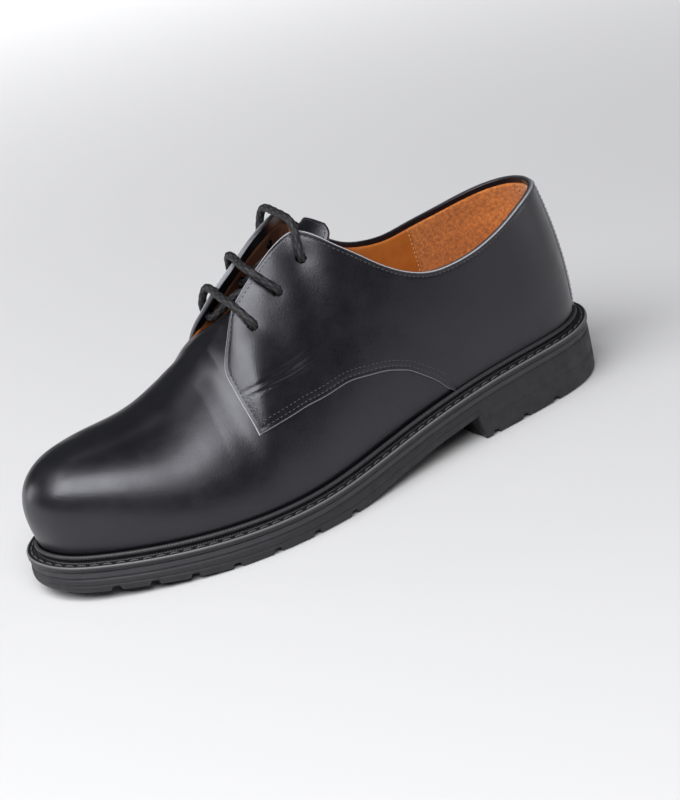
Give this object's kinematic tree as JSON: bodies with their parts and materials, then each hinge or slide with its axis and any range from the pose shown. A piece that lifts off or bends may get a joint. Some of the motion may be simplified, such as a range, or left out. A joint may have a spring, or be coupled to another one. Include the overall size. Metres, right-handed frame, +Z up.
{
  "type": "low lace-up shoe",
  "caption": "Low derby shoe for the left foot with a round toe, stitched welt, notched rubber sole with a heel block, and a lace through punched holes.",
  "frame": {"origin": "middle of the footprint's bounding box, on the floor under the sole", "axes": "+X towards the toe, +Y towards the outer side of the left foot, +Z up"},
  "size_m": [0.3, 0.11, 0.1292],
  "materials": {
    "outsole": "matte moulded rubber",
    "welt": "satin, ribbed and stitched",
    "insole": "smooth tan leather",
    "upper": "smooth black leather with a soft sheen",
    "tongue": "smooth black leather with a soft sheen",
    "laces": "braided matte cord"
  },
  "bodies": {
    "root": {"outsole": "outsole", "welt": "welt", "insole": "insole", "upper": "upper", "tongue": "tongue", "laces": "laces"}
  },
  "joints": []
}
